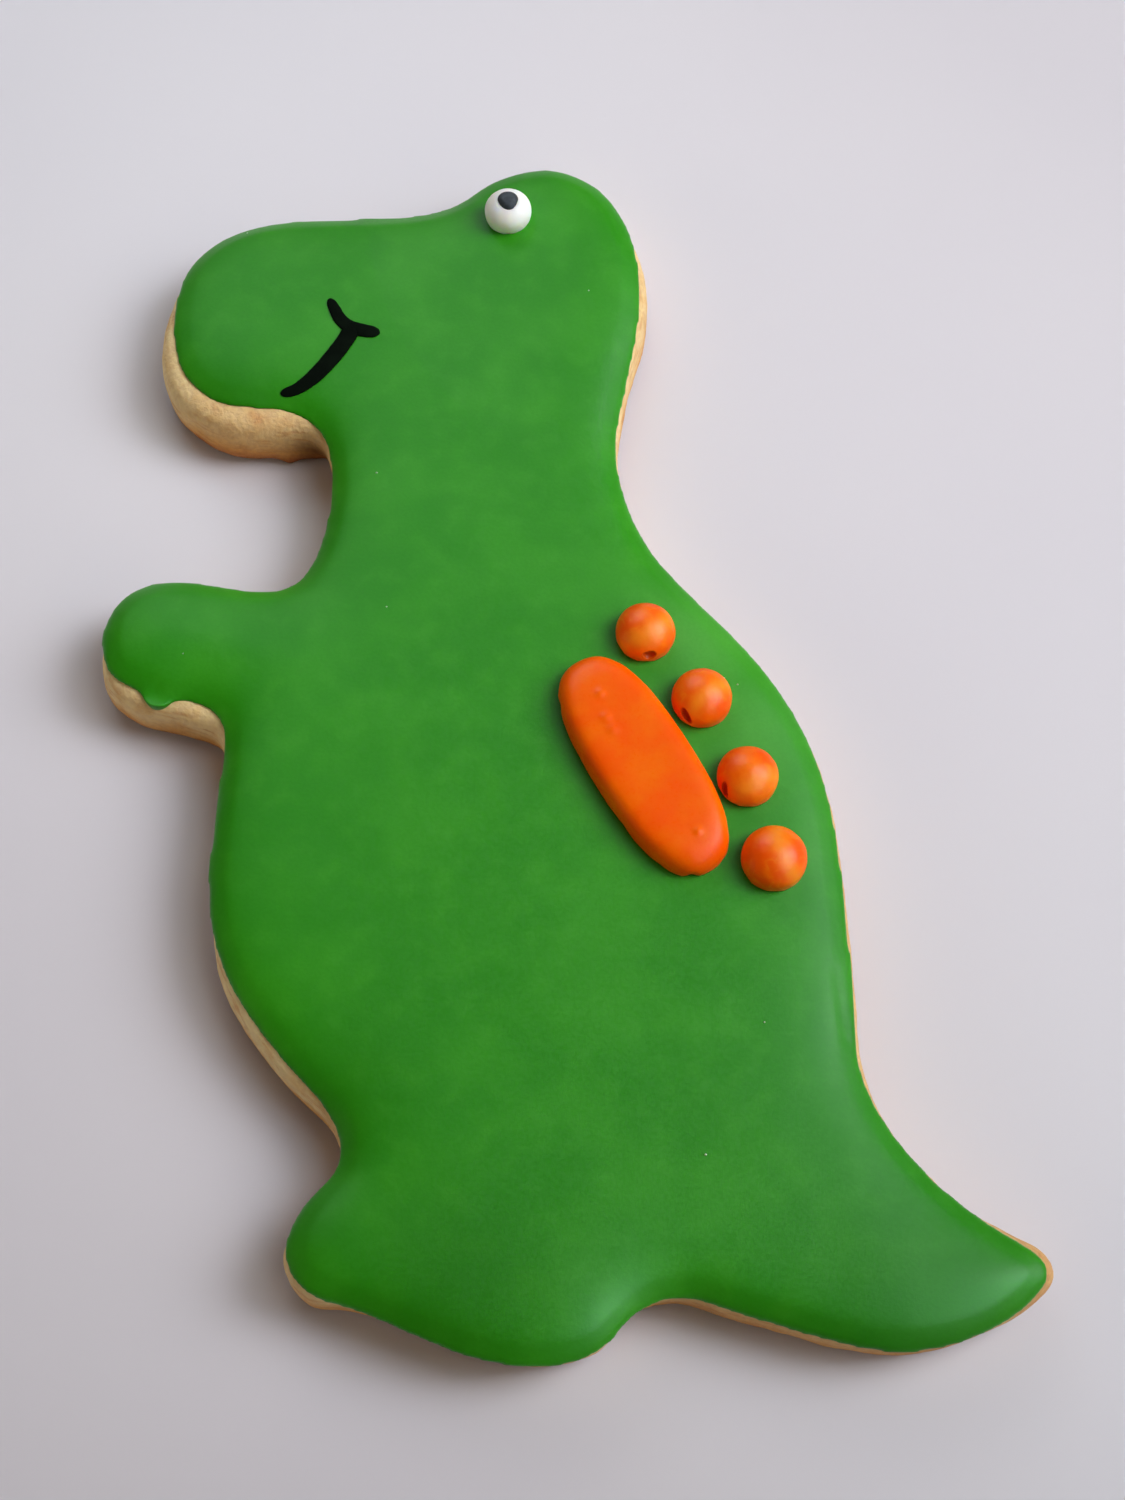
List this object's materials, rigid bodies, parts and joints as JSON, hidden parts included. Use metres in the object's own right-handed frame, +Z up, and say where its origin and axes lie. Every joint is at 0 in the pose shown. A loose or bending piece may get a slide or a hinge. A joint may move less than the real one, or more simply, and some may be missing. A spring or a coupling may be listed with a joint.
{
  "type": "iced sugar cookie",
  "caption": "Flat sugar cookie cut as a standing tyrannosaur, flooded with green icing, with a row of orange icing spots, a smiling mouth and a dome eye.",
  "frame": {"origin": "under the middle of the cookie's box, on the flat baked underside it lies on", "axes": "+Z up out of the iced face, +Y from the feet towards the head, +X towards the back and tail"},
  "size_m": [0.0823, 0.1169, 0.0105],
  "materials": {
    "baked_dough": "matte, pale baked sugar dough, browned at the base",
    "green_icing": "satin, dried flooded icing",
    "orange_icing": "soft gloss, piped icing",
    "orange_dot_icing": "soft gloss, streaked piped icing",
    "white_icing": "satin, piped icing",
    "slate_icing": "satin, piped icing",
    "black_icing": "matte, thin piped line"
  },
  "bodies": {
    "root": {"cookie": "baked_dough", "icing_green": "green_icing", "spot_oval": "orange_icing", "dot_1": "orange_dot_icing", "dot_2": "orange_dot_icing", "dot_3": "orange_dot_icing", "dot_4": "orange_dot_icing", "eye_white": "white_icing", "eye_pupil": "slate_icing", "mouth_line": "black_icing"}
  },
  "joints": []
}
